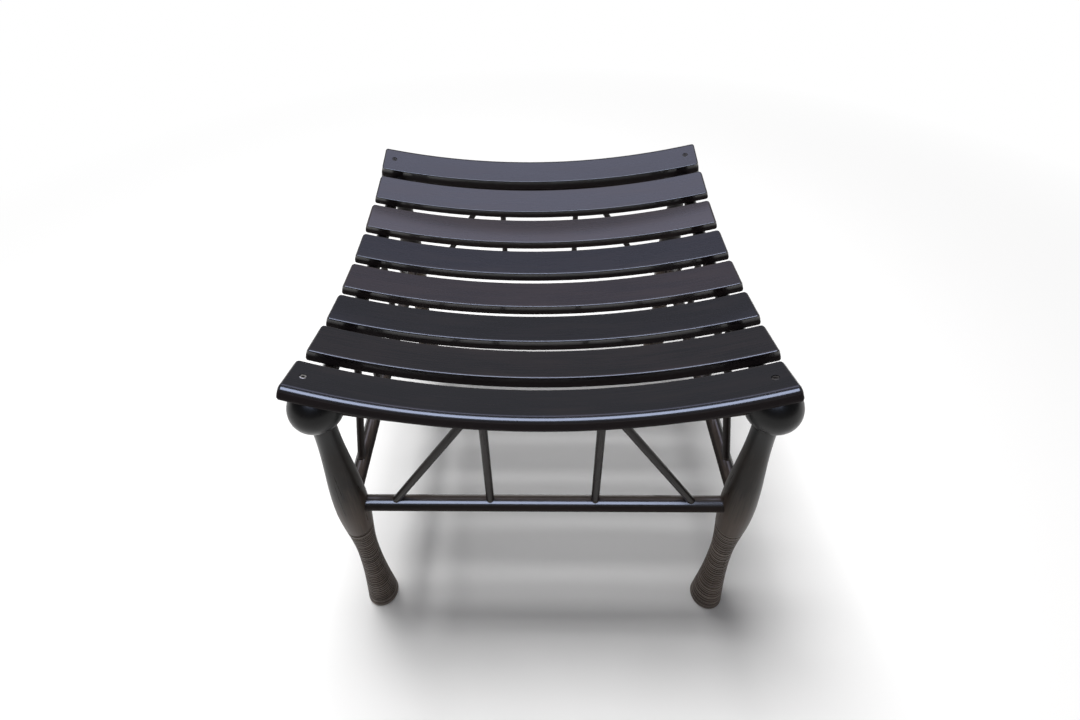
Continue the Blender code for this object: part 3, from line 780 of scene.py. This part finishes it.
def aged_steel(name):
    """Blackened steel: old black in patches, rubbed to bright metal where it is worn."""
    made, shader, wire = new_finish(name)
    place = wire.node("ShaderNodeTexCoord", {}, {}, output="Object")
    patches, specks = (
        wire.node("ShaderNodeTexNoise", {}, {"Vector": place, "Scale": scale, "Detail": detail})
        for scale, detail in (STEEL_PATCHES, STEEL_SPECKS)
    )
    rubbed = wire.look("wear") * (STEEL_WEAR_BASE + patches * STEEL_WEAR_PATCHES)
    rubbed = (rubbed + (specks - STEEL_SPECK_LEVEL) * STEEL_SPECK_WEAR).clamped()
    bump = {"Strength": STEEL_BUMP, "Distance": STEEL_BUMP_HEIGHT, "Height": specks}
    wire.mixed(rubbed, (*OLD_BLACK, 1), (*STEEL, 1)).into(shader, "Base Color")
    (STEEL_ROUGHNESS - rubbed * STEEL_POLISH).into(shader, "Roughness")
    rubbed.into(shader, "Metallic")
    wire.node("ShaderNodeBump", {}, bump).into(shader, "Normal")
    return made


screw_steel = aged_steel("darkened_screw_steel")
screws = []
for corner_name, side_x, side_y in CORNERS:
    number = 1 if side_y < 0 else SLAT_COUNT
    across = SLAT_SHIFTS.get(number, 0.0) + side_x * (LEG_SPREAD + SCREW_OUTSET)
    top = slat_surface(side_y * END_ANGLE, across, 0.0) @ Matrix.Translation((0, 0, -SCREW_RECESS))
    length = END_SLAT_THICKNESS + FIT + BALL_BITE - SCREW_RECESS
    screws.append((f"end_slat_screw_{corner_name}", length, top, [slats[number]]))
foot = SIDE_ARC + RAIL_RADIUS - SCREW_RECESS
for number in range(2, SLAT_COUNT):
    angle = slat_angle(number)
    outward = Matrix.Rotation(angle + math.copysign(SCREW_SHIFT / DISH_RADIUS, angle) + math.pi, 4, "X")
    length = foot - SIDE_UNDER + SLAT_BITE
    for side_name, sign in (("left", -1), ("right", 1)):
        arc_centre = Matrix.Translation((sign * LEG_SPREAD, 0, SEAT_HEIGHT + DISH_RADIUS))
        placing = arc_centre @ outward @ Matrix.Translation((0, 0, foot))
        held = [rails[side_name], slats[number]]
        screws.append((f"slat_screw_{number}_{side_name}", length, placing, held))
for screw_name, length, placing, held in screws:
    turned = placing @ Matrix.Rotation(chance.uniform(0, math.pi), 4, "Z")
    rim = RIM_CIRCLES[:, None] * RIM_SHINE.get(screw_name, BLACK_SHINE)
    screw_mesh = closed_skin(f"slotted_{screw_name}", placed(screw_rings(length), turned), wear=rim)
    screw = fitted(f"slotted_{screw_name}", screw_mesh, screw_steel, screw_name)
    slot = block_rings(SLOT_REACH, SLOT_WIDTH / 2, -SLOT_DEPTH, SLOT_DEPTH)
    cut_out(screw, closed_skin("slot", placed(slot, turned)))
    for piece in held:
        hole = screw_rings(length, FIT, HOLE_STAND_OUT)
        cut_out(piece, closed_skin("hole", placed(hole, placing)))

# ---- Floor, light and camera ----
# A plain white floor, one soft lamp that casts the stool's shadow on it, dim panels that show only in the
# polish, even light from all round, and the camera where the photograph was taken from.
FLOOR_REACH = 14.0
FLOOR_COLOUR = (0.92, 0.917, 0.912)
BLACK, WHITE = (0, 0, 0, 1), (1, 1, 1, 1)
# Away from the middle the floor goes over into plain white: where that starts, and how fast it goes
WHITE_START, WHITE_RATE = 0.45, 0.9
ROOM_LIGHT = (0.198, 0.198, 0.204)
# Each lamp: its place, its size across and in depth, its power and its colour, and whether it is the lamp
# that casts the shadow or a dim panel that shows in the polish
LAMPS = {
    "shadow_lamp": ((-0.33, 0.29, 2.6), (1.05, 1.00), 79.0, (1.0, 1.0, 1.0), "shadow"),
    "front_panel": ((-0.10, -1.05, 2.27), (1.5, 1.5), 46.0, (0.80, 0.92, 1.26), "polish"),
    "rear_panel": ((0.0, 1.33, 2.35), (3.0, 0.72), 7.8, (0.93, 0.96, 1.33), "polish"),
    "far_panel": ((0.0, 1.98, 2.04), (3.4, 0.46), 0.8, (0.90, 0.95, 1.60), "polish"),
}
CAMERA_PLACE = (-0.001553, -0.504839, 0.753690)
CAMERA_DOWN, CAMERA_TURN, CAMERA_ROLL = (math.radians(v) for v in (36.4486, -2.2370, 1.8921))
CAMERA_LENS = 19.535
CAMERA_SENSOR = 36.0
CAMERA_SHIFT = (0.01852, -0.11111)
CAMERA_NEAR = 0.01


def pointed(place, across, upward, back):
    """Placing of a lamp or a camera from its own three directions: to the right, up and backwards."""
    return Matrix.Translation(place) @ Matrix(np.column_stack([across, upward, back]).tolist()).to_4x4()


floor_mesh = bpy.data.meshes.new("studio_floor")
floor_mesh.from_pydata(square_ring(FLOOR_REACH, FLOOR_REACH).tolist(), [], [(0, 1, 2, 3)])
studio_floor = bpy.data.objects.new("studio_floor", floor_mesh)
bpy.context.scene.collection.objects.link(studio_floor)
floor_paint, paint, wire = new_finish("white_floor_paint")
paint.inputs["Roughness"].default_value = 1.0
paint.inputs["Specular IOR Level"].default_value = 0.0
seen_by_camera, seen_in_gloss, seen_through = (
    wire.node("ShaderNodeLightPath", {}, {}, output=ray)
    for ray in ("Is Camera Ray", "Is Glossy Ray", "Is Transmission Ray")
)
shown = (seen_by_camera + seen_in_gloss + seen_through).clamped()
spot = wire.node("ShaderNodeTexCoord", {}, {}, output="Object")
distance = wire.node("ShaderNodeVectorMath", {"operation": "LENGTH"}, {0: spot}, output="Value")
far = ((distance - WHITE_START) * WHITE_RATE).clamped()
wire.mixed(far, (*FLOOR_COLOUR, 1), BLACK).into(paint, "Base Color")
wire.mixed(shown * far, BLACK, WHITE).into(paint, "Emission Color")
paint.inputs["Emission Strength"].default_value = 1.0
floor_mesh.materials.append(floor_paint)

room = bpy.data.worlds.new("room")
room.use_nodes = True
room.node_tree.nodes["Background"].inputs["Color"].default_value = (*ROOM_LIGHT, 1)
bpy.context.scene.world = room

for lamp_name, (place, size, power, colour, use) in LAMPS.items():
    lamp = bpy.data.lights.new(lamp_name, "AREA")
    lamp.shape = "RECTANGLE"
    lamp.size, lamp.size_y = size
    lamp.energy = power
    lamp.color = colour
    back = np.array(place) - np.array([0.0, 0.0, SEAT_HEIGHT])
    back /= np.linalg.norm(back)
    across = np.array([1.0, 0.0, 0.0]) - back[0] * back
    across /= np.linalg.norm(across)
    hung = bpy.data.objects.new(lamp_name, lamp)
    hung.visible_diffuse, hung.visible_glossy = use == "shadow", use == "polish"
    hung.matrix_world = pointed(place, across, np.cross(back, across), back)
    bpy.context.scene.collection.objects.link(hung)

forward = np.array([
    math.sin(CAMERA_TURN) * math.cos(CAMERA_DOWN), math.cos(CAMERA_TURN) * math.cos(CAMERA_DOWN),
    -math.sin(CAMERA_DOWN),
])
right = np.array([math.cos(CAMERA_TURN), -math.sin(CAMERA_TURN), 0.0])
down = np.cross(forward, right)
rolled_right = math.cos(CAMERA_ROLL) * right + math.sin(CAMERA_ROLL) * down
rolled_down = -math.sin(CAMERA_ROLL) * right + math.cos(CAMERA_ROLL) * down
lens = bpy.data.cameras.new("camera")
lens.lens = CAMERA_LENS
lens.sensor_width = CAMERA_SENSOR
lens.sensor_fit = "HORIZONTAL"
lens.shift_x, lens.shift_y = CAMERA_SHIFT
lens.clip_start = CAMERA_NEAR
camera = bpy.data.objects.new("camera", lens)
camera.matrix_world = pointed(CAMERA_PLACE, rolled_right, -rolled_down, -forward)
bpy.context.scene.collection.objects.link(camera)
bpy.context.scene.camera = camera
bpy.context.scene.view_settings.view_transform = "Standard"
